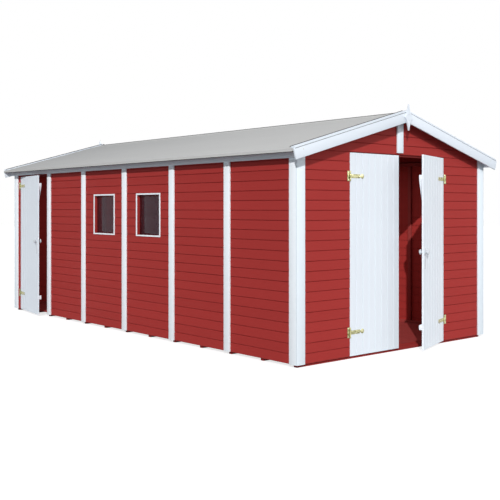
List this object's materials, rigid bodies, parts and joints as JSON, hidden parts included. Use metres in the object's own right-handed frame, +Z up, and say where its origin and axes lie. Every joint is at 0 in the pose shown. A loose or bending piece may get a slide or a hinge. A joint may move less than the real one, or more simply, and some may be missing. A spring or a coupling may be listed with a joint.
{
  "type": "timber storage shed",
  "caption": "Boarded timber storage shed with a felted gable roof, double doors in the front gable, a side door and windows in one long wall.",
  "frame": {"origin": "on the ground at the middle of the floor plan, on the underside of the middle joist", "axes": "+X towards the front gable with the double doors, -Y towards the side with the windows and the single door, +Z up"},
  "size_m": [6.3541, 3.2739, 2.5607],
  "materials": {
    "red_boards": "opaque red wood stain, satin",
    "red_frame": "opaque red wood stain, satin",
    "red_floor": "opaque red wood stain, satin",
    "white_trim": "white wood paint, satin",
    "white_door": "white wood paint, satin",
    "roof_boards": "opaque red wood stain, satin",
    "roof_felt": "mineral roofing felt, grey granules",
    "glass": "dark clear pane",
    "hinge_zinc": "yellow passivated zinc",
    "lock_white": "white powder coat"
  },
  "bodies": {
    "shed": {"floor_joists": "red_floor", "floor_deck": "red_floor", "door_sills": "red_floor", "front_wall_left": "red_boards", "front_wall_right": "red_boards", "front_gable": "red_boards", "rear_wall": "red_boards", "window_side_front_panels": "red_boards", "front_window_panel": "red_boards", "rear_window_panel": "red_boards", "window_side_rear_panel": "red_boards", "side_door_panel": "red_boards", "side_door_lintel": "red_boards", "back_side_panels": "red_boards", "front_frame": "red_frame", "rear_frame": "red_frame", "window_side_frame": "red_frame", "back_side_frame": "red_frame", "gable_corner_trims": "white_trim", "side_corner_trims": "white_trim", "window_side_battens": "white_trim", "back_side_battens": "white_trim", "gable_battens": "white_trim", "eave_boards": "white_trim", "window_side_roof_boards": "roof_boards", "back_side_roof_boards": "roof_boards", "window_side_felt": "roof_felt", "back_side_felt": "roof_felt", "roof_purlins": "red_frame", "front_bargeboards": "white_trim", "rear_bargeboards": "white_trim", "front_rake_caps": "white_trim", "rear_rake_caps": "white_trim", "finials": "white_trim", "window_frames": "white_trim", "window_glass": "glass", "hinge_plates": "hinge_zinc"},
    "front_left_door": {"left_leaf": "white_door", "left_ledges": "white_door", "left_straps": "hinge_zinc"},
    "front_right_door": {"right_leaf": "white_door", "right_ledges": "white_door", "right_straps": "hinge_zinc", "right_lock": "lock_white"},
    "side_door": {"side_leaf": "white_door", "side_ledges": "white_door", "side_straps": "hinge_zinc", "side_lock": "lock_white"}
  },
  "joints": [
    {"name": "front_left_hinge", "type": "hinge", "parent": "shed", "child": "front_left_door", "pos_m": [2.974, -0.76, 1.0335], "axis": [0, 0, -1], "range_deg": [0, 110]},
    {"name": "front_right_hinge", "type": "hinge", "parent": "shed", "child": "front_right_door", "pos_m": [2.974, 0.76, 1.0335], "axis": [0, 0, 1], "range_deg": [-20.8, 89.2]},
    {"name": "side_door_hinge", "type": "hinge", "parent": "shed", "child": "side_door", "pos_m": [-2.811, -1.487, 1.0335], "axis": [0, 0, -1], "range_deg": [-9.5, 100.5]}
  ]
}
